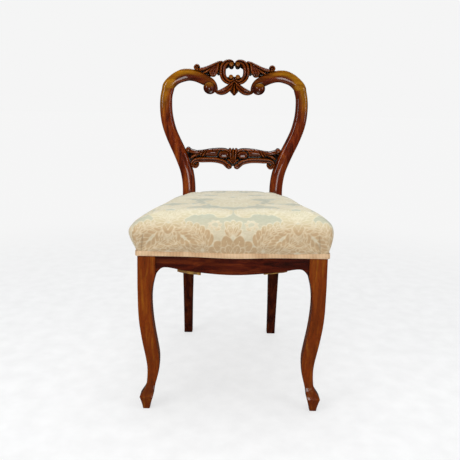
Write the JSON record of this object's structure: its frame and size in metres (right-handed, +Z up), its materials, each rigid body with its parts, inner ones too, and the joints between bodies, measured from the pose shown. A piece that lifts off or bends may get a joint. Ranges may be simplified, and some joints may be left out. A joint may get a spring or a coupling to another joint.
{
  "type": "balloon back chair",
  "caption": "Carved balloon back dining chair with an open hoop back, carved crest and cross rails, cabriole front legs and a sprung seat covered in damask.",
  "frame": {"origin": "centre of the bounding box's footprint, on the floor", "axes": "+Z up, -Y towards the front of the chair, +X to the right of someone who looks at its front"},
  "size_m": [0.478, 0.5321, 0.8781],
  "materials": {
    "polished_show_wood": "french polished red brown walnut, satin gloss",
    "front_leg_wood": "french polished orange brown walnut, satin gloss",
    "frame_wood": "unpolished beech",
    "dowel_wood": "plain birch",
    "damask": "woven silk and cotton damask, soft sheen",
    "braid": "ribbed peach beige gimp braid",
    "jute_webbing": "plain woven jute",
    "hessian": "open woven hessian",
    "stuffing": "curled hair under cotton wadding",
    "spring_steel": "drawn spring wire",
    "screw_steel": "plain steel wood screws"
  },
  "bodies": {
    "root": {"back_leg_left": "polished_show_wood", "back_leg_right": "polished_show_wood", "crest_rail": "polished_show_wood", "crest_dowels": "dowel_wood", "cross_rail": "polished_show_wood", "front_leg_left": "front_leg_wood", "front_leg_right": "front_leg_wood", "front_rail": "polished_show_wood", "side_rail_left": "polished_show_wood", "side_rail_right": "polished_show_wood", "rear_rail": "frame_wood", "corner_block_front_left": "frame_wood", "corner_block_front_right": "frame_wood", "corner_block_rear_left": "frame_wood", "corner_block_rear_right": "frame_wood", "corner_block_screws": "screw_steel", "webbing_lengthwise": "jute_webbing", "webbing_crosswise": "jute_webbing", "seat_springs": "spring_steel", "spring_canvas": "hessian", "seat_stuffing": "stuffing", "seat_cover": "damask", "gimp_braid": "braid"}
  },
  "joints": []
}
